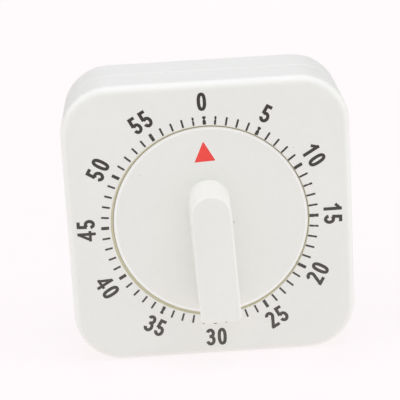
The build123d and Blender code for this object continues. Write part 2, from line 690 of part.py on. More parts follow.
def bell():
    """A shallow steel dome, open towards the movement."""
    dome = rod(BELL, BELL_R, Y_BELL_RIM, Y_BELL_CROWN)
    dome = fillet(dome.edges().group_by(Axis.Y)[-1], BELL_EDGE_R)
    inside = rod(BELL, BELL_R - BELL_WALL, Y_BELL_RIM, Y_BELL_CROWN - BELL_WALL)
    inside = fillet(inside.edges().group_by(Axis.Y)[-1], BELL_EDGE_R - BELL_WALL)
    return dome - inside - rod(BELL, BELL_SCREW_R + 0.1, Y_BELL_RIM, Y_BELL_CROWN)


def bell_stud():
    stud = rod(BELL, 2.4, Y_REAR_PLATE + PLATE_T, Y_BELL_CROWN - BELL_WALL)
    stud += rod(BELL, PLATE_SCREW_R, Y_REAR_PLATE, Y_REAR_PLATE + PLATE_T)
    return stud - rod(BELL, BELL_SCREW_R, 5.8, Y_BELL_CROWN)


def bell_screw():
    return screw(BELL, BELL_SCREW_R, 2.2, Y_BELL_CROWN, 1.0, 6.2)


NODES = [
    front_case, rear_cover, case_screws, movement_screws, dial_knob, dial_pointer, dial_washer,
    front_plate, rear_plate, plate_pillars, pillar_screws,
    main_arbor, great_wheel, ratchet_wheel, click_pawl, click_stud, click_spring, release_cam,
    spring_barrel, barrel_cover, mainspring,
    second_arbor, second_wheel, third_arbor, third_wheel, escape_arbor, escape_wheel,
    anchor_arbor, pallet_anchor, pallet_pins, balance_weight,
    strike_arbor, strike_wheel, hammer_arbor, hammer_tail, hammer_arm, hammer_head,
    detent_lever, detent_stud, detent_spring, bell, bell_stud, bell_screw,
]

os.makedirs("parts", exist_ok=True)
for make in NODES:
    shape = make()
    solids = Compound(children=shape) if isinstance(shape, list) else shape
    export_step(solids, f"parts/{make.__name__}.step")
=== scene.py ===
import json
import math

import bmesh
import bpy
from mathutils import Matrix, Vector, noise
from mathutils.geometry import delaunay_2d_cdt


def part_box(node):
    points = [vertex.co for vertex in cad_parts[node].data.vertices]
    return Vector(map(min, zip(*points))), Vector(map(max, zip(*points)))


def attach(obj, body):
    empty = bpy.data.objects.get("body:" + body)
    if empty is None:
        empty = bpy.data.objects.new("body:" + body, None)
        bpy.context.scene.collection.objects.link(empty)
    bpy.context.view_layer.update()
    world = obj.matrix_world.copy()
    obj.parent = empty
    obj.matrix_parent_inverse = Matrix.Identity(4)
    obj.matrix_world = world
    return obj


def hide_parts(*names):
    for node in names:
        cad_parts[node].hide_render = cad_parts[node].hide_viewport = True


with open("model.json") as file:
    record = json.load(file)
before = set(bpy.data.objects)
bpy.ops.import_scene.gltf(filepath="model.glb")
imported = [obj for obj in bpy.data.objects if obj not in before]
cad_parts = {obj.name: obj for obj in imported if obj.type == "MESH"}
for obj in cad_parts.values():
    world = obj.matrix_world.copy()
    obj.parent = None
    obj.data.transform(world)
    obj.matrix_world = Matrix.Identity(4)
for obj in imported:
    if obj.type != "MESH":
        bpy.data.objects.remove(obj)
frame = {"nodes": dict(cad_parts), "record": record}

bpy.context.view_layer.update()

MM = 0.001

# ---- places, from the frame ----
case_low, case_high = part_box("front_case")
dial_low, dial_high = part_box("dial_knob")
pan_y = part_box("dial_washer")[1].y
CASE_CENTRE = (case_low + case_high) / 2
DIAL_CENTRE = (dial_low + dial_high) / 2
HALF_CASE = (case_high.x - case_low.x) / 2
DIAL_R = (dial_high.x - dial_low.x) / 2
FACE_Y = case_low.y
SEAM_Y = case_high.y

# ---- the case's own sizes ----
CORNER_R = 12.0 * MM
FRONT_EDGE_R = 2.1 * MM
SEAM_CHAMFER = 0.22 * MM
WALL = 2.0 * MM
WINDOW_R = 24.32 * MM
WINDOW_EDGE_R = 0.18 * MM
LEDGE_R = 23.95 * MM
LEDGE_DEPTH = 0.75 * MM
PAN_THICK = 1.6 * MM
COLLAR_R = WINDOW_R + 1.6 * MM
SHAFT_OPENING_R = 3.0 * MM
BOSS_OFFSET = 28.3 * MM
BOSS_R = 2.6 * MM
BOSS_HOLE_R = 1.0 * MM
MOUNT_DISTANCE = 19.0 * MM
MOUNT_DIRECTIONS = (60, 180, 300)
MOUNT_R = 2.5 * MM
MOUNT_HOLE_R = 1.1 * MM

# ---- the dial's own sizes ----
DIAL_EDGE_INSET = 0.65 * MM
DIAL_EDGE_DEPTH = 0.3 * MM
DIAL_TURN = math.radians(-2.5)
DISC_SUNK = 0.3 * MM
DISC_THICK = 2.0 * MM
RIM_DEPTH = 3.0 * MM
HUB_DEPTH = 3.4 * MM
HUB_R = 4.0 * MM
SHAFT_HOLE_R = 1.92 * MM
SHAFT_FLAT = 1.5 * MM
SHAFT_HOLE_DEPTH = 8.0 * MM
HANDLE_HALF_W = 5.05 * MM
HANDLE_TOP = 5.4 * MM
HANDLE_BOTTOM = -21.85 * MM
HANDLE_SLOPE = math.tan(math.radians(0.6))
HANDLE_CORNER_R = 1.35 * MM
HANDLE_EDGE_R = 0.7 * MM
HANDLE_FOOT_R = 0.2 * MM
HANDLE_WALL = 1.5 * MM
HANDLE_CROWN = 0.22 * MM
POINTER_APEX = 20.3 * MM
POINTER_BASE = 15.2 * MM
POINTER_HALF_W = 2.57 * MM
POINTER_DEPTH = 0.25 * MM
PRINT_CENTRE = Vector((CASE_CENTRE.x - 0.17 * MM, 0.0, CASE_CENTRE.z))

# ---- the printed scale ----
MINUTES = 60
LABEL_STEP = 5
TICK_MID_R = 25.6 * MM
TICK_LENGTH = 2.1 * MM
TICK_SMEAR = 0.08
WORN_TICKS = {0: 0.6, 1: 0.35, 5: 0.5, 12: 0.45, 15: 0.2, 16: 0.4, 35: 0.35, 59: 0.6}
WAIST_REACH = 0.17 * MM
TICK_WIDTH = 0.47 * MM
LONG_TICK_WIDTH = 0.8 * MM
NUMBER_R = 30.25 * MM
DIGIT_W = 2.24 * MM
DIGIT_H = 4.5 * MM
DIGIT_STROKE = 0.8 * MM
DIGIT_ADVANCE = 2.9 * MM
NUMBERS_TURN = math.radians(-0.38)
NUMBER_SLIPS = {0: (-0.2, 0.0), 20: (-0.3, -0.07), 25: (0.1, 0.26), 30: (-0.1, 0.1), 35: (0.0, 0.14)}
FIRST_FLIPPED = 20
LAST_FLIPPED = 40
PRINT_SEED = 7
INK_PROUD = 0.03 * MM
INK_SUNK = 0.01 * MM


# ================================================================ materials
class Surface:
    """A material with one Principled shader, and short names for the nodes that drive it."""

    def __init__(self, name, **constants):
        self.material = bpy.data.materials.new(name)
        self.material.use_nodes = True
        self.tree = self.material.node_tree
        self.shader = self.tree.nodes["Principled BSDF"]
        self.place = self.node("ShaderNodeTexCoord").outputs["Object"]
        for socket, value in constants.items():
            self.shader.inputs[socket.replace("_", " ").title().replace("Ior", "IOR")].default_value = value

    def node(self, kind, **settings):
        made = self.tree.nodes.new(kind)
        for key, value in settings.items():
            setattr(made, key, value)
        return made

    def feed(self, socket, value):
        """A link if the value is another node's output, and else a plain number or colour."""
        if isinstance(value, bpy.types.NodeSocket):
            self.tree.links.new(value, socket)
        else:
            socket.default_value = value

    def drive(self, **sockets):
        for name, value in sockets.items():
            self.feed(self.shader.inputs[name.replace("_", " ")], value)

    def noise(self, size, detail=3.0, rough=0.5, stretch=(1, 1, 1), seed=0.0):
        """Noise from 0 to 1 with features of about that size in metres."""
        mapping = self.node("ShaderNodeMapping")
        self.feed(mapping.inputs["Vector"], self.place)
        self.feed(mapping.inputs["Scale"], stretch)
        self.feed(mapping.inputs["Location"], (seed, seed * 1.7, seed * 0.6))
        made = self.node("ShaderNodeTexNoise")
        self.feed(made.inputs["Vector"], mapping.outputs["Vector"])
        self.feed(made.inputs["Scale"], 1 / size)
        self.feed(made.inputs["Detail"], detail)
        self.feed(made.inputs["Roughness"], rough)
        return made.outputs["Fac"]

    def cells(self, size, seed=0.0):
        """Distance from the nearest of scattered points, for specks and dents."""
        mapping = self.node("ShaderNodeMapping")
        self.feed(mapping.inputs["Vector"], self.place)
        self.feed(mapping.inputs["Location"], (seed, seed * 1.3, seed * 0.7))
        made = self.node("ShaderNodeTexVoronoi")
        self.feed(made.inputs["Vector"], mapping.outputs["Vector"])
        self.feed(made.inputs["Scale"], 1 / size)
        return made.outputs["Distance"]

    def band(self, value, low, high, to_low=0.0, to_high=1.0):
        """Carry low..high over to to_low..to_high, held at the ends."""
        made = self.node("ShaderNodeMapRange")
        self.feed(made.inputs["Value"], value)
        for name, number in (("From Min", low), ("From Max", high), ("To Min", to_low), ("To Max", to_high)):
            self.feed(made.inputs[name], number)
        return made.outputs["Result"]

    def sum(self, operation, first, second=0.5):
        made = self.node("ShaderNodeMath", operation=operation)
        self.feed(made.inputs[0], first)
        self.feed(made.inputs[1], second)
        return made.outputs["Value"]

    def blend(self, share, first, second, mode="MIX"):
        made = self.node("ShaderNodeMix", data_type="RGBA", blend_type=mode)
        self.feed(made.inputs[0], share)
        self.feed(made.inputs[6], first)
        self.feed(made.inputs[7], second)
        return made.outputs[2]

    def bump(self, height, depth, normal=None):
        made = self.node("ShaderNodeBump")
        self.feed(made.inputs["Height"], height)
        self.feed(made.inputs["Distance"], depth)
        if normal is not None:
            self.feed(made.inputs["Normal"], normal)
        return made.outputs["Normal"]

    def attribute(self, name):
        made = self.node("ShaderNodeAttribute", attribute_name=name)
        return made.outputs["Fac"]


def colour(red, green, blue):
    return (red, green, blue, 1.0)


# painted shade: the warm tint that stands in for the shade inside the window's groove and behind the dial's
# edge
GROOVE_SHADE_TINT = colour(0.73, 0.69, 0.50)
DIRT = colour(0.33, 0.33, 0.29)
# painted shade: where the outer corners are greyed, by reach from the centre and by distance across
CORNER_REACH = (39.0 * MM, 42.5 * MM)
CORNER_SIDE = (30.0 * MM, 34.7 * MM)


def handled_corners(s):
    """Painted shade: the side-facing half of the case's outer corners, behind the rounding of the face, greyed
    to stand in for the shade there.
    """
    parts = s.node("ShaderNodeSeparateXYZ")
    s.feed(parts.inputs[0], s.place)
    across = s.sum("SUBTRACT", parts.outputs["X"], CASE_CENTRE.x)
    rise = s.sum("SUBTRACT", parts.outputs["Z"], CASE_CENTRE.z)
    reach = s.sum("SQRT", s.sum("ADD", s.sum("MULTIPLY", across, across), s.sum("MULTIPLY", rise, rise)))
    behind_face = s.band(parts.outputs["Y"], FACE_Y + 1.3 * MM, FACE_Y + FRONT_EDGE_R + 0.8 * MM)
    corner = s.sum("MULTIPLY", s.band(reach, *CORNER_REACH), s.band(s.sum("ABSOLUTE", across), *CORNER_SIDE))
    return s.sum("MULTIPLY", corner, behind_face)


def stained(s, base, centre, radius, strength):
    """A soft dark mark on the surface about a point."""
    gap = s.node("ShaderNodeVectorMath", operation="DISTANCE")
    s.feed(gap.inputs[0], s.place)
    s.feed(gap.inputs[1], centre)
    mask = s.sum("MULTIPLY", s.band(gap.outputs["Value"], 0.4 * radius, radius, 1.0, 0.0), strength)
    return s.blend(mask, base, DIRT)


def moulded_white(name, tint, shade, glossy, seed, stains=()):
    """Slightly warm moulded plastic: faint clouding, a fine grain, rare specks, painted shade on the outer
    corners and in recesses, and a painted highlight on edges that are also rubbed a little glossier.
    """
    s = Surface(name, subsurface_weight=0.0)
    clouding = s.band(s.noise(16 * MM, 3, 0.55, seed=seed), 0.35, 0.65)
    base = s.blend(clouding, tint, shade)
    fine = s.band(s.noise(1.4 * MM, 4, 0.6, seed=seed + 3), 0.3, 0.7, 0.985, 1.0)
    base = s.blend(1.0, base, fine, "MULTIPLY")
    speck = s.sum("MULTIPLY", s.band(s.cells(5.5 * MM, seed), 0.016, 0.030, 1.0, 0.0), 0.55)
    base = s.blend(speck, base, DIRT)
    for centre, radius, strength in stains:
        base = stained(s, base, centre, radius, strength)
    # painted shade: the side-facing walls of the outer corners darkened to 0.83 of their colour
    base = s.blend(handled_corners(s), base, colour(0.83, 0.83, 0.83), "MULTIPLY")
    # painted highlight: where the attribute marks an edge, the colour is lightened towards white
    base = s.blend(s.attribute("painted_highlight_and_rubbed"), base, colour(1.0, 0.995, 0.97))
    # painted shade in the recesses, broken into patches; the same share also makes the surface rougher there
    patchy = s.band(s.noise(2.2 * MM, 3, 0.6, seed=seed + 11), 0.3, 0.7, 0.85, 1.0)
    groove_shade_share = s.sum("MULTIPLY", s.attribute("recess_shade"), patchy)
    base = s.blend(groove_shade_share, base, GROOVE_SHADE_TINT)
    grain = s.noise(0.16 * MM, 2, 0.5, seed=seed + 7)
    wave = s.noise(9 * MM, 1, 0.4, seed=seed + 5)
    scuff = s.band(s.noise(2.6 * MM, 5, 0.7, (1, 1, 0.25), seed + 9), 0.52, 0.72)
    rough = s.band(s.noise(5 * MM, 3, 0.6, seed=seed + 1), 0.3, 0.7, glossy, glossy + 0.05)
    rough = s.sum("ADD", rough, s.sum("MULTIPLY", scuff, 0.02))
    rough = s.sum("ADD", rough, s.sum("MULTIPLY", s.attribute("painted_highlight_and_rubbed"), -0.05))
    rough = s.sum("ADD", rough, s.sum("MULTIPLY", groove_shade_share, 0.3))
    normal = s.bump(wave, 0.02 * MM, s.bump(grain, 0.0016 * MM))
    s.drive(Base_Color=base, Roughness=rough, Normal=normal)
    return s.material


def ink():
    """Pad-printed black, a little thin and broken where the pad lifted."""
    s = Surface("print_black", ior=1.45)
    thin = s.band(s.noise(0.7 * MM, 4, 0.6, seed=2.0), 0.58, 0.70)
    height = s.node("ShaderNodeSeparateXYZ")
    s.feed(height.inputs[0], s.place)
    faded = s.band(height.outputs["Z"], CASE_CENTRE.z - HALF_CASE, CASE_CENTRE.z + HALF_CASE, 1.0, 0.0)
    fresh = s.blend(faded, colour(0.035, 0.028, 0.023), colour(0.090, 0.084, 0.078))
    base = s.blend(s.sum("MULTIPLY", thin, 0.35), fresh, colour(0.17, 0.155, 0.14))
    rough = s.band(s.noise(0.4 * MM, 3, 0.6), 0.3, 0.7, 0.42, 0.62)
    s.drive(Base_Color=base, Roughness=rough, Normal=s.bump(s.noise(0.12 * MM, 2), 0.003 * MM))
    return s.material


def red_paint():
    """Paint that has pooled in the pointer's pocket."""
    s = Surface("pointer_red", ior=1.5)
    pooled = s.band(s.noise(1.3 * MM, 3, 0.6, seed=4.0), 0.35, 0.65)
    base = s.blend(pooled, colour(0.97, 0.068, 0.050), colour(0.91, 0.050, 0.040))
    rough = s.band(s.noise(0.8 * MM, 3, 0.5), 0.3, 0.7, 0.28, 0.42)
    s.drive(Base_Color=base, Roughness=rough, Normal=s.bump(s.noise(0.5 * MM, 3), 0.012 * MM))
    return s.material


def metal(name, bright, dark, low, high, brush=(1, 1, 1), brush_size=0.3 * MM, depth=0.003 * MM, seed=0.0):
    """A metal whose tarnish, polish and tool marks vary over it."""
    s = Surface(name, metallic=1.0)
    tarnish = s.band(s.noise(3.5 * MM, 4, 0.6, seed=seed), 0.35, 0.68)
    marks = s.noise(brush_size, 3, 0.6, brush, seed + 2)
    base = s.blend(tarnish, bright, dark)
    base = s.blend(s.band(marks, 0.3, 0.7, 0.0, 0.18), base, dark)
    rough = s.band(s.sum("ADD", tarnish, marks), 0.3, 1.4, low, high)
    s.drive(Base_Color=base, Roughness=rough, Normal=s.bump(marks, depth))
    return s.material


def floor_material():
    s = Surface("pale_floor", roughness=0.9)
    cloud = s.band(s.noise(0.4, 2, 0.5), 0.3, 0.7)
    s.drive(Base_Color=s.blend(cloud, colour(0.15, 0.144, 0.146), colour(0.165, 0.158, 0.16)))
    s.shader.inputs["Emission Color"].default_value = colour(1.0, 0.949, 0.958)
    s.shader.inputs["Emission Strength"].default_value = 0.81
    return s.material


WARM_WHITE = colour(0.89, 0.885, 0.845)
SHADE_WHITE = colour(0.875, 0.872, 0.833)
DIAL_STAINS = (
    (Vector((DIAL_CENTRE.x + 5.6 * MM, FACE_Y + DISC_SUNK, DIAL_CENTRE.z - 0.6 * MM)), 0.34 * MM, 0.4),
    (Vector((DIAL_CENTRE.x + 6.4 * MM, FACE_Y + DISC_SUNK, DIAL_CENTRE.z + 0.4 * MM)), 0.25 * MM, 0.14),
)
MATERIALS = {
    "case_white": moulded_white("case_white", WARM_WHITE, SHADE_WHITE, 0.36, 1.0),
    "dial_white": moulded_white("dial_white", WARM_WHITE, SHADE_WHITE, 0.30, 6.0, DIAL_STAINS),
    "pointer_red": red_paint(),
}
# name: bright colour, tarnished colour, lowest and highest roughness, direction of the tool marks
METALS = {
    "brass": ((0.83, 0.62, 0.27), (0.55, 0.38, 0.15), 0.22, 0.42, (1, 1, 0.1)),
    "steel": ((0.66, 0.66, 0.66), (0.42, 0.42, 0.43), 0.22, 0.38, (1, 0.1, 1)),
    "spring_steel": ((0.30, 0.34, 0.42), (0.16, 0.18, 0.25), 0.2, 0.34, (1, 1, 1)),
    "screw_zinc": ((0.72, 0.73, 0.74), (0.46, 0.47, 0.46), 0.26, 0.5, (1, 1, 1)),
    "bell_chrome": ((0.78, 0.79, 0.80), (0.60, 0.61, 0.62), 0.06, 0.18, (1, 1, 1)),
    "hammer_lead": ((0.38, 0.38, 0.40), (0.22, 0.22, 0.24), 0.45, 0.7, (1, 1, 1)),
}
for place, (kind, (bright, dark, low, high, brush)) in enumerate(METALS.items()):
    MATERIALS[kind] = metal(kind, colour(*bright), colour(*dark), low, high, brush, seed=place + 1.0)
INK = ink()


def dress_cad_nodes():
    """Give each carried-over CAD piece the material of its slot in the record."""
    slots = {row["node"]: row["material_slot"] for row in frame["record"]["subparts"]}
    for name, piece in frame["nodes"].items():
        piece.data.materials.clear()
        piece.data.materials.append(MATERIALS[slots[name]])


# ================================================================ solid shapes
def placed(points, centre, y):
    """Points drawn in the dial's plane, carried to a centre and a level."""
    return [Vector((centre.x + u, y, centre.z + v)) for u, v in points]


def circle(radius, directions):
    return [(radius * math.cos(a), radius * math.sin(a)) for a in directions]


def directions_of(points):
    return [math.atan2(v, u) for u, v in points]


def mixed(first, second, share):
    return [(a[0] + (b[0] - a[0]) * share, a[1] + (b[1] - a[1]) * share) for a, b in zip(first, second)]


def skin(bm, rings, closed=False):
    """Quads between neighbouring rings that have the same count of points."""
    loops = [[bm.verts.new(point) for point in ring] for ring in rings]
    for first, second in zip(loops, loops[1:] + (loops[:1] if closed else [])):
        if first is loops[-1] and not closed:
            break
        for i, vert in enumerate(first):
            j = (i + 1) % len(first)
            bm.faces.new((vert, first[j], second[j], second[i]))
    return loops


def add_prism(bm, points, centre, y_front, y_back):
    """A closed bar along Y with that outline."""
    front, back = skin(bm, [placed(points, centre, y_front), placed(points, centre, y_back)])
    bm.faces.new(front[::-1])
    bm.faces.new(back)


def around(count):
    return [math.tau * i / count for i in range(count)]


def temporary(bm):
    bmesh.ops.recalc_face_normals(bm, faces=bm.faces[:])
    mesh = bpy.data.meshes.new("temporary")
    bm.to_mesh(mesh)
    bm.free()
    holder = bpy.data.objects.new("temporary", mesh)
    bpy.context.scene.collection.objects.link(holder)
    return holder


def carved(bm, joined, removed):
    """The same shape with closed shapes joined to it and others cut from it, by exact booleans."""
    body = temporary(bm)
    tools = []
    for operation, shapes in (("UNION", joined), ("DIFFERENCE", removed)):
        tool = temporary(shapes)
        modifier = body.modifiers.new(operation, "BOOLEAN")
        modifier.operation = operation
        modifier.solver = "EXACT"
        modifier.object = tool
        tools.append(tool)
    bpy.context.view_layer.update()
    result = bmesh.new()
    result.from_object(body, bpy.context.evaluated_depsgraph_get())
    for holder in [body] + tools:
        mesh = holder.data
        bpy.data.objects.remove(holder)
        bpy.data.meshes.remove(mesh)
    bmesh.ops.remove_doubles(result, verts=result.verts[:], dist=1e-7)
    return result


def case_outline(inset, corner_steps=18, side_steps=24):
    """The case's rounded square, inset from its wall, counter-clockwise from the right side's lower end."""
    middle = HALF_CASE - CORNER_R
    radius = CORNER_R - inset
    points = []
    for quarter in range(4):
        turn = quarter * math.pi / 2
        side = [(HALF_CASE - inset, -middle + 2 * middle * i / side_steps) for i in range(side_steps)]
        bend = [(middle + radius * math.cos(a), middle + radius * math.sin(a))
                for a in (math.pi / 2 * i / corner_steps for i in range(corner_steps))]
        for u, v in side + bend:
            points.append((u * math.cos(turn) - v * math.sin(turn), u * math.sin(turn) + v * math.cos(turn)))
    return points


def rounding(radius, steps, depth=None):
    """Inset and depth along a quarter round, from the side wall to the flat; a depth makes it elliptical."""
    turns = [math.pi / 2 * i / steps for i in range(steps + 1)]
    return [(radius * (1 - math.cos(t)), (depth or radius) * (1 - math.sin(t))) for t in turns]


def front_shell():
    """The front half of the case: outer wall, face, stepped window, pan, and the posts inside it."""
    sweep = directions_of(case_outline(0))
    inner = FACE_Y + WALL
    ledge = FACE_Y + LEDGE_DEPTH
    pan_back = pan_y + PAN_THICK
    case_rings = [(WALL, SEAM_Y), (SEAM_CHAMFER, SEAM_Y), (0.0, SEAM_Y - SEAM_CHAMFER)]
    case_rings += [(inset, FACE_Y + depth) for inset, depth in rounding(FRONT_EDGE_R, 9)]
    rings = [placed(case_outline(inset), CASE_CENTRE, y) for inset, y in case_rings]
    face_edge = case_outline(FRONT_EDGE_R)
    window_edge = circle(WINDOW_R + WINDOW_EDGE_R, sweep)
    rings += [placed(mixed(face_edge, window_edge, share / 6), CASE_CENTRE, FACE_Y) for share in range(1, 7)]
    for inset, depth in rounding(WINDOW_EDGE_R, 3)[::-1][1:]:
        rings.append(placed(circle(WINDOW_R + inset, sweep), CASE_CENTRE, FACE_Y + depth))
    rings.append(placed(circle(WINDOW_R, sweep), CASE_CENTRE, ledge))
    for radius, y in ((LEDGE_R, ledge), (LEDGE_R, pan_y), (LEDGE_R / 2, pan_y), (SHAFT_OPENING_R, pan_y),
                      (SHAFT_OPENING_R, pan_back), (LEDGE_R / 2, pan_back)):
        rings.append(placed(circle(radius, sweep), DIAL_CENTRE, y))
    rings += [placed(circle(COLLAR_R, sweep), CASE_CENTRE, y) for y in (pan_back, inner)]
    rings.append(placed(case_outline(WALL), CASE_CENTRE, inner))
    bm = bmesh.new()
    skin(bm, rings, closed=True)
    posts, bores = bmesh.new(), bmesh.new()
    for x in (-BOSS_OFFSET, BOSS_OFFSET):
        for z in (-BOSS_OFFSET, BOSS_OFFSET):
            centre = CASE_CENTRE + Vector((x, 0, z))
            add_prism(posts, circle(BOSS_R, around(40)), centre, inner - WALL / 2, SEAM_Y)
            add_prism(bores, circle(BOSS_HOLE_R, around(24)), centre, pan_y, SEAM_Y + WALL)
    plate_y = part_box("front_plate")[0].y
    for direction in MOUNT_DIRECTIONS:
        turn = math.radians(direction)
        centre = DIAL_CENTRE + Vector((math.cos(turn), 0, math.sin(turn))) * MOUNT_DISTANCE
        add_prism(posts, circle(MOUNT_R, around(40)), centre, pan_back - PAN_THICK / 2, plate_y)
        add_prism(bores, circle(MOUNT_HOLE_R, around(24)), centre, pan_y - WALL, plate_y + WALL)
    shell = carved(bm, posts, bores)
    recess_shade = shell.verts.layers.float.new("recess_shade")
    painted_highlight_and_rubbed = shell.verts.layers.float.new("painted_highlight_and_rubbed")
    for vert in shell.verts:
        reach = math.hypot(vert.co.x - CASE_CENTRE.x, vert.co.z - CASE_CENTRE.z)
        # painted shade: the deeper a point lies inside the window, the more of the groove tint it gets
        if reach < COLLAR_R and vert.co.y > FACE_Y + 0.05 * MM:
            vert[recess_shade] = min(1.0, (vert.co.y - FACE_Y) / (0.5 * MM))
        # painted highlight on the rounding of the front edge, which is also a little glossier
        if FACE_Y + 0.2 * MM < vert.co.y < FACE_Y + 1.2 * MM and reach > WINDOW_R + WALL:
            vert[painted_highlight_and_rubbed] = 0.2
    return finished("case_front_shell", shell, MATERIALS["case_white"], "case", 32, ["front_case"])


def handle_half(inset):
    """The right half of the bar handle's outline, from its round top to the middle of its bottom."""
    half = HANDLE_HALF_W - inset
    corner = max(HANDLE_CORNER_R - inset, 0.3 * MM)
    bottom = HANDLE_BOTTOM + inset
    turns = [math.pi / 2 * i / 18 for i in range(18)]
    points = [(half * math.sin(a), HANDLE_TOP + half * math.cos(a)) for a in turns]
    first = math.atan2(HANDLE_TOP, half)
    last = math.atan2(bottom + corner, half)
    points += [(half, half * math.tan(first + (last - first) * i / 44)) for i in range(44)]
    for i in range(9):
        turn = math.pi / 2 * i / 9
        points.append((half - corner + corner * math.cos(turn), bottom + corner - corner * math.sin(turn)))
    return points + [((half - corner) * (1 - i / 4), bottom) for i in range(5)]


def handle_outline(inset):
    right = handle_half(inset)
    return right + [(-u, v) for u, v in right[-2:0:-1]]


def cap(bm, loop, rise, steps=6):
    """Strips that close a mirrored loop; rise says how far a point stands back from its row's ends."""
    count = len(loop)
    half = count // 2
    rows = []
    for i in range(1, half):
        right, left = loop[i], loop[count - i]
        row = [right]
        for k in range(1, steps):
            point = right.co.lerp(left.co, k / steps)
            point.y = right.co.y + rise(point) - rise(right.co)
            row.append(bm.verts.new(point))
        rows.append(row + [left])
    for first, second in zip(rows, rows[1:]):
        for k in range(steps):
            bm.faces.new((first[k], first[k + 1], second[k + 1], second[k]))
    for k in range(steps):
        bm.faces.new((loop[0], rows[0][k + 1], rows[0][k]))
        bm.faces.new((loop[half], rows[-1][k], rows[-1][k + 1]))


def dial_body():
    """The moulded dial: bar handle, disc, rim, and the hollow behind them with its hub."""
    disc_y = FACE_Y + DISC_SUNK
    top_y = dial_low.y
    sweep = directions_of(handle_outline(0))

    def crown(point):
        return HANDLE_CROWN * min(1.0, ((point.x - DIAL_CENTRE.x) / HANDLE_HALF_W) ** 2)

    def handle_ring(inset, y, crowned):
        ring = placed(handle_outline(inset + (disc_y - y) * HANDLE_SLOPE), DIAL_CENTRE, y)
        return [point + Vector((0, crown(point), 0)) for point in ring] if crowned else ring

    rings = [handle_ring(inset, top_y + depth, True) for inset, depth in rounding(HANDLE_EDGE_R, 8)[::-1]]
    rings.append(handle_ring(0.0, top_y + 4 * HANDLE_EDGE_R, False))
    for share in (0.5, 0.8):
        rings.append(handle_ring(0.0, top_y + (disc_y - top_y) * share, False))
    for inset, depth in rounding(HANDLE_FOOT_R, 4):
        rings.append(placed(handle_outline(-inset), DIAL_CENTRE, disc_y - depth))
    foot = handle_outline(-HANDLE_FOOT_R)
    disc_edge = circle(DIAL_R - DIAL_EDGE_INSET - 0.1 * MM, sweep)
    rings += [placed(mixed(foot, disc_edge, share / 5), DIAL_CENTRE, disc_y) for share in range(1, 6)]
    for inset, depth in rounding(DIAL_EDGE_INSET, 6, DIAL_EDGE_DEPTH)[::-1]:
        rings.append(placed(circle(DIAL_R - inset, sweep), DIAL_CENTRE, disc_y + depth))
    rim_y = disc_y + RIM_DEPTH
    back_y = disc_y + DISC_THICK
    rings += [placed(circle(DIAL_R, sweep), DIAL_CENTRE, rim_y)]
    rings += [placed(circle(DIAL_R - HANDLE_WALL, sweep), DIAL_CENTRE, y) for y in (rim_y, back_y)]
    rings.append(placed(handle_outline(HANDLE_WALL), DIAL_CENTRE, back_y))
    hollow_y = top_y + HANDLE_WALL
    hollow_inset = HANDLE_WALL + (back_y - hollow_y) * HANDLE_SLOPE
    rings.append(placed(handle_outline(hollow_inset), DIAL_CENTRE, hollow_y))
    bm = bmesh.new()
    loops = skin(bm, rings)
    cap(bm, loops[0], crown)
    cap(bm, loops[-1], lambda point: 0.0)
    hub, holes = bmesh.new(), bmesh.new()
    hub_y = disc_y + HUB_DEPTH
    add_prism(hub, circle(HUB_R, around(64)), DIAL_CENTRE, hollow_y - HANDLE_WALL / 2, hub_y)
    level = math.asin(SHAFT_FLAT / SHAFT_HOLE_R)
    bend = [level - (math.pi + 2 * level) * i / 40 for i in range(41)]
    add_prism(holes, circle(SHAFT_HOLE_R, bend), DIAL_CENTRE, disc_y - SHAFT_HOLE_DEPTH, hub_y + WALL)
    add_prism(holes, pointer_outline(0.0), DIAL_CENTRE, disc_y - WALL, disc_y + POINTER_DEPTH)
    body = carved(bm, hub, holes)
    recess_shade = body.verts.layers.float.new("recess_shade")
    painted_highlight_and_rubbed = body.verts.layers.float.new("painted_highlight_and_rubbed")
    for vert in body.verts:
        # painted shade: points behind the disc's face get the groove tint, more the deeper they lie
        if vert.co.y > disc_y + 0.6 * DIAL_EDGE_DEPTH:
            vert[recess_shade] = min(1.0, (vert.co.y - disc_y) / (0.6 * MM))
        reach = math.hypot(vert.co.x - DIAL_CENTRE.x, vert.co.z - DIAL_CENTRE.z)
        # painted highlight along the rounded edge of the disc, which is also a little glossier
        if reach > DIAL_R - DIAL_EDGE_INSET - 0.05 * MM and vert.co.y < disc_y + 0.6 * DIAL_EDGE_DEPTH:
            vert[painted_highlight_and_rubbed] = 1.0
    turned(body)
    return finished("dial_moulding", body, MATERIALS["dial_white"], "dial", 32, ["dial_knob"])


def turned(bm):
    """Turn a piece of the dial about its axle by the pointer's small offset from the zero mark."""
    centre = Vector((DIAL_CENTRE.x, 0, DIAL_CENTRE.z))
    bmesh.ops.rotate(bm, cent=centre, matrix=Matrix.Rotation(DIAL_TURN, 3, "Y"), verts=bm.verts[:])


def pointer_outline(inset, corner=0.15 * MM):
    """The pointer's triangle with soft corners, apex outwards."""
    corners = ((-POINTER_HALF_W, POINTER_BASE), (POINTER_HALF_W, POINTER_BASE), (0, POINTER_APEX))
    tips = [Vector(corner_place) for corner_place in corners]
    points = []
    for i, tip in enumerate(tips):
        back = (tips[i - 1] - tip).normalized()
        ahead = (tips[(i + 1) % 3] - tip).normalized()
        middle = (back + ahead).normalized()
        opening = back.angle(ahead) / 2
        centre = tip + middle * (corner + inset) / math.sin(opening)
        reach = math.pi - 2 * opening
        facing = math.atan2(-middle.y, -middle.x)
        for k in range(6):
            turn = facing - reach / 2 + reach * k / 5
            points.append((centre.x + corner * math.cos(turn), centre.y + corner * math.sin(turn)))
    return points


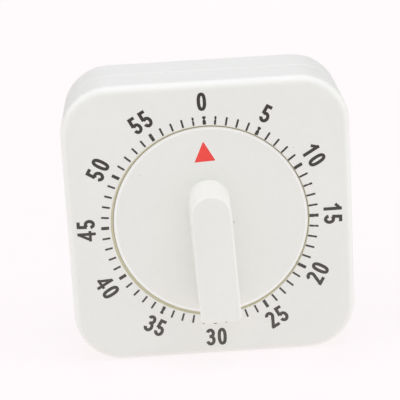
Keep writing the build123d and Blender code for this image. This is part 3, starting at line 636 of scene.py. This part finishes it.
def pointer():
    """Paint that fills the dial's pocket, drawn up a little at its edges."""
    disc_y = FACE_Y + DISC_SUNK
    levels = ((0.02, 0.25), (0.02, 0.03), (0.12, 0.05), (0.35, 0.07), (0.7, 0.08), (1.1, 0.08))
    rings = [placed(pointer_outline(inset * MM), DIAL_CENTRE, disc_y + depth * MM) for inset, depth in levels]
    bm = bmesh.new()
    loops = skin(bm, rings)
    bm.faces.new(loops[0][::-1])
    bm.faces.new(loops[-1])
    turned(bm)
    return finished("pointer_paint", bm, MATERIALS["pointer_red"], "dial", 40, ["dial_pointer"])


# ================================================================ printed scale
def arc(centre, radii, start, end, steps):
    """Points along part of an ellipse; angles in degrees, counter-clockwise from +u."""
    turns = [math.radians(start + (end - start) * i / steps) for i in range(steps + 1)]
    return [(centre[0] + radii[0] * math.cos(t), centre[1] + radii[1] * math.sin(t)) for t in turns]


def spaced(points, step=0.16 * MM):
    """The same line with points no further apart than the step."""
    line = [Vector(points[0])]
    for end in points[1:]:
        start = line[-1].copy()
        run = Vector(end) - start
        count = max(1, math.ceil(run.length / step))
        line += [start + run * (i + 1) / count for i in range(count)]
    return line


def stroke(points, width=DIGIT_STROKE, closed=False):
    """Quads along a line of that width."""
    line = spaced(points)
    if closed:
        line = line[:-1]
    count = len(line)
    sides = []
    for i, point in enumerate(line):
        before = line[i - 1] if i or closed else point
        after = line[(i + 1) % count] if i + 1 < count or closed else point
        along = (after - before).normalized()
        across = Vector((-along.y, along.x)) * width / 2
        sides.append((point + across, point - across))
    pairs = zip(sides, sides[1:] + sides[:1]) if closed else zip(sides, sides[1:])
    return [(a[0], a[1], b[1], b[0]) for a, b in pairs]


def digit_strokes(digit):
    """A condensed bold digit, centred on its middle."""
    t = DIGIT_STROKE
    w, h = (DIGIT_W - t) / 2, (DIGIT_H - t) / 2
    if digit == "0":
        turns = [math.radians(6 * i) for i in range(61)]
        ring = [(w * math.copysign(abs(math.sin(a)) ** 0.8, math.sin(a)),
                 h * math.copysign(abs(math.cos(a)) ** 0.8, math.cos(a))) for a in turns]
        return stroke(ring, closed=True)
    if digit == "1":
        stem = stroke([(0.3 * w, h + t / 2), (0.3 * w, -h - t / 2)])
        return stem + stroke([(0.3 * w, h), (-1.35 * w, h - 1.65 * w)], 0.9 * t)
    if digit == "2":
        bowl = arc((0, h - 1.1 * w), (w, 1.1 * w), 168, -28, 18)
        return stroke(bowl + [(-w, -h)]) + stroke([(-w - t / 2, -h), (w + t / 2, -h)])
    if digit == "3":
        waist = 0.08 * h
        upper = arc((0, (h + waist) / 2), (w, (h - waist) / 2), 163, -88, 20)
        lower = arc((0, (waist - h) / 2), (1.1 * w, (h + waist) / 2), 88, -165, 22)
        return stroke(upper) + stroke(lower) + stroke([(-0.4 * w, waist), (0.2 * w, waist)])
    if digit == "4":
        bar = -0.47 * h
        stem = 0.6 * w
        lines = stroke([(stem, h + t / 2), (stem, -h - t / 2)], 0.9 * t)
        lines += stroke([(-1.45 * w - t / 2, bar), (1.15 * w + t / 2, bar)], 0.85 * t)
        return lines + stroke([(stem, h + 0.2 * t), (-1.45 * w, bar)], 0.82 * t)
    if digit == "5":
        top = stroke([(-0.8 * w, h), (w, h)])
        stem = stroke([(-0.8 * w, h + t / 2), (-0.95 * w, -0.1 * h)])
        bowl = arc((0, -h + 1.35 * w), (1.1 * w, 1.35 * w), 142, -168, 24)
        return top + stem + stroke(bowl)
    raise ValueError(digit)


def tick_outline(width, length, waist=0.0):
    """A bar with soft corners along v; a waist takes that share of its width away above its middle."""
    corner = min(0.12 * MM, width * 0.35)
    half_u, half_v = width / 2 - corner, length / 2 - corner
    points = []
    for quarter, (u, v) in enumerate(((1, 1), (-1, 1), (-1, -1), (1, -1))):
        points += arc((u * half_u, v * half_v), (corner, corner), 90 * quarter, 90 * quarter + 90, 3)
    line = spaced(points + points[:1], 0.1 * MM)[:-1]
    for point in line:
        point.x *= 1 - waist * math.exp(-((point.y - 0.1 * length) / WAIST_REACH) ** 2)
    return line


def on_face(point, middle_r, turn, flip=False):
    """A point drawn upright, carried to its place on the scale; turn is clockwise from the top."""
    u, v = (-point[0], -point[1]) if flip else point
    v += middle_r
    return Vector((u * math.cos(turn) + v * math.sin(turn), v * math.cos(turn) - u * math.sin(turn)))


def ragged(point, size):
    """Push a point about a little, as the edge of a print is never quite clean."""
    at = Vector((point.x, point.y, 0)) / (0.35 * MM)
    push = noise.noise_vector(at)
    return Vector((point.x + push.x * size, point.y + push.y * size))


def printed(name, polygons):
    """Overlapping flat polygons, merged into one thin layer of ink on the case's face."""
    points, faces = [], []
    for polygon in polygons:
        faces.append(list(range(len(points), len(points) + len(polygon))))
        points += polygon
    flat, _, triangles, _, _, sources = delaunay_2d_cdt(points, [], faces, 1, 1e-7)
    bm = bmesh.new()
    front = [bm.verts.new((PRINT_CENTRE.x + p.x, FACE_Y - INK_PROUD, PRINT_CENTRE.z + p.y)) for p in flat]
    for triangle, source in zip(triangles, sources):
        if source:
            bm.faces.new([front[i] for i in triangle])
    bmesh.ops.delete(bm, geom=[v for v in bm.verts if not v.link_faces], context="VERTS")
    bmesh.ops.dissolve_limit(bm, angle_limit=0.001, verts=bm.verts[:], edges=bm.edges[:])
    bmesh.ops.triangulate(bm, faces=bm.faces[:], quad_method="BEAUTY", ngon_method="BEAUTY")
    grown = bmesh.ops.extrude_face_region(bm, geom=bm.faces[:])
    for vert in (g for g in grown["geom"] if isinstance(g, bmesh.types.BMVert)):
        vert.co.y = FACE_Y + INK_SUNK
    bmesh.ops.recalc_face_normals(bm, faces=bm.faces[:])
    return finished(name, bm, INK)


def finished(name, bm, material, body="case", smooth=None, stands_for=()):
    """A piece that rides on a body; smooth is the sharpest angle, in degrees, that is shaded as round."""
    bmesh.ops.recalc_face_normals(bm, faces=bm.faces[:])
    mesh = bpy.data.meshes.new(name)
    bm.to_mesh(mesh)
    bm.free()
    mesh.materials.append(material)
    piece = bpy.data.objects.new(name, mesh)
    bpy.context.scene.collection.objects.link(piece)
    if smooth is not None:
        mesh.shade_smooth()
        mesh.set_sharp_from_angle(angle=math.radians(smooth))
        weighted = piece.modifiers.new("even_shading", "WEIGHTED_NORMAL")
        weighted.keep_sharp = True
    if stands_for:
        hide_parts(*stands_for)
    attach(piece, body)
    return piece


def printed_ticks():
    polygons = []
    for minute in range(MINUTES):
        turn = math.tau * minute / MINUTES
        width = LONG_TICK_WIDTH if minute % LABEL_STEP == 0 else TICK_WIDTH
        length = TICK_LENGTH * (1 + TICK_SMEAR * math.sin(turn))
        waist = WORN_TICKS.get(minute, 0.0)
        outline = tick_outline(width, length, waist)
        rough_edge = (0.08 if waist else 0.03) * MM
        polygons.append([ragged(on_face(p, TICK_MID_R, turn), rough_edge) for p in outline])
    return printed("printed_ticks", polygons)


def printed_numbers():
    quads = []
    for minute in range(0, MINUTES, LABEL_STEP):
        turn = math.tau * minute / MINUTES + NUMBERS_TURN
        flip = FIRST_FLIPPED <= minute <= LAST_FLIPPED
        slip = Vector(NUMBER_SLIPS.get(minute, (0.0, 0.0))) * MM
        label = str(minute)
        for place, digit in enumerate(label):
            shift = (place - (len(label) - 1) / 2) * DIGIT_ADVANCE
            for quad in digit_strokes(digit):
                moved = [on_face((p[0] + shift, p[1]), NUMBER_R, turn, flip) + slip for p in quad]
                quads.append([ragged(p, 0.02 * MM) for p in moved])
    return printed("printed_numbers", quads)


# ================================================================ stage, lights and camera
def stage():
    bm = bmesh.new()
    bmesh.ops.create_circle(bm, cap_ends=True, radius=4.0, segments=96)
    mesh = bpy.data.meshes.new("floor")
    bm.to_mesh(mesh)
    bm.free()
    mesh.materials.append(floor_material())
    floor = bpy.data.objects.new("floor", mesh)
    floor.location.z = -0.02 * MM
    bpy.context.scene.collection.objects.link(floor)


def soft_sun(name, azimuth, elevation, spread, strength, tint):
    """A wide, far light; azimuth 0 comes from in front, and positive from the right. Angles in degrees."""
    data = bpy.data.lights.new(name, "SUN")
    data.angle = math.radians(spread)
    data.energy = strength * math.pi
    data.color = tint
    light = bpy.data.objects.new(name, data)
    turn, rise = math.radians(azimuth), math.radians(elevation)
    towards = Vector((math.sin(turn) * math.cos(rise), -math.cos(turn) * math.cos(rise), math.sin(rise)))
    light.rotation_mode = "QUATERNION"
    light.rotation_quaternion = towards.to_track_quat("Z", "Y")
    bpy.context.scene.collection.objects.link(light)


WORLD_TINT = colour(0.97, 1.0, 0.98)
WORLD_IN_FRONT = 0.66
WORLD_BEHIND = 0.318
WORLD_FADE = 0.4
SUN_SPREAD = 40
COOL, NEUTRAL, WARM = (0.86, 0.91, 1.0), (0.92, 0.97, 1.0), (1.0, 0.82, 0.95)
# name: azimuth, elevation, strength, tint
SUNS = {
    "above_left": (-60, 62, 0.07, COOL),
    "above_right": (60, 62, 0.16, COOL),
    "above": (0, 88, 0.152, WARM),
    "behind": (180, 45, 0.13, NEUTRAL),
    "left": (-85, 35, 0.187, NEUTRAL),
    "right_low": (85, 10, 0.158, NEUTRAL),
    "right": (85, 35, 0.04, NEUTRAL),
}


def lights():
    """Soft light from all round, stronger from in front, and wide suns from several sides."""
    world = bpy.data.worlds.new("studio")
    world.use_nodes = True
    nodes, links = world.node_tree.nodes, world.node_tree.links
    background = nodes["Background"]
    background.inputs["Color"].default_value = WORLD_TINT
    direction = nodes.new("ShaderNodeTexCoord")
    parts = nodes.new("ShaderNodeSeparateXYZ")
    fading = nodes.new("ShaderNodeMapRange")
    limits = {"From Min": -WORLD_FADE, "From Max": WORLD_FADE, "To Min": WORLD_IN_FRONT, "To Max": WORLD_BEHIND}
    for name, number in limits.items():
        fading.inputs[name].default_value = number
    links.new(direction.outputs["Generated"], parts.inputs[0])
    links.new(parts.outputs["Y"], fading.inputs["Value"])
    links.new(fading.outputs["Result"], background.inputs["Strength"])
    bpy.context.scene.world = world
    for name, (azimuth, elevation, strength, tint) in SUNS.items():
        soft_sun(name, azimuth, elevation, SUN_SPREAD, strength, tint)


CAMERA_FROM_FACE = Vector((-0.01019, -0.3898, 0.1243))
CAMERA_YAW = math.radians(1.194)
CAMERA_PITCH = math.radians(-16.914)
CAMERA_ROLL = math.radians(-3.258)


def camera():
    data = bpy.data.cameras.new("camera")
    data.sensor_width = 36.0
    data.lens = 150.55
    data.clip_start = 0.01
    data.clip_end = 20.0
    eye = bpy.data.objects.new("camera", data)
    flat = math.cos(CAMERA_PITCH)
    forward = Vector((math.sin(CAMERA_YAW) * flat, math.cos(CAMERA_YAW) * flat, math.sin(CAMERA_PITCH)))
    level = forward.cross(Vector((0, 0, 1))).normalized()
    right = math.cos(CAMERA_ROLL) * level + math.sin(CAMERA_ROLL) * level.cross(forward)
    up = right.cross(forward)
    turn = Matrix((right, up, -forward)).transposed()
    face = Vector((PRINT_CENTRE.x, FACE_Y, PRINT_CENTRE.z))
    eye.matrix_world = Matrix.Translation(face + CAMERA_FROM_FACE) @ turn.to_4x4()
    bpy.context.scene.collection.objects.link(eye)
    bpy.context.scene.camera = eye


noise.seed_set(PRINT_SEED)
dress_cad_nodes()
front_shell()
dial_body()
pointer()
printed_ticks()
printed_numbers()
stage()
lights()
camera()
bpy.context.scene.view_settings.view_transform = "Standard"

bpy.context.view_layer.update()
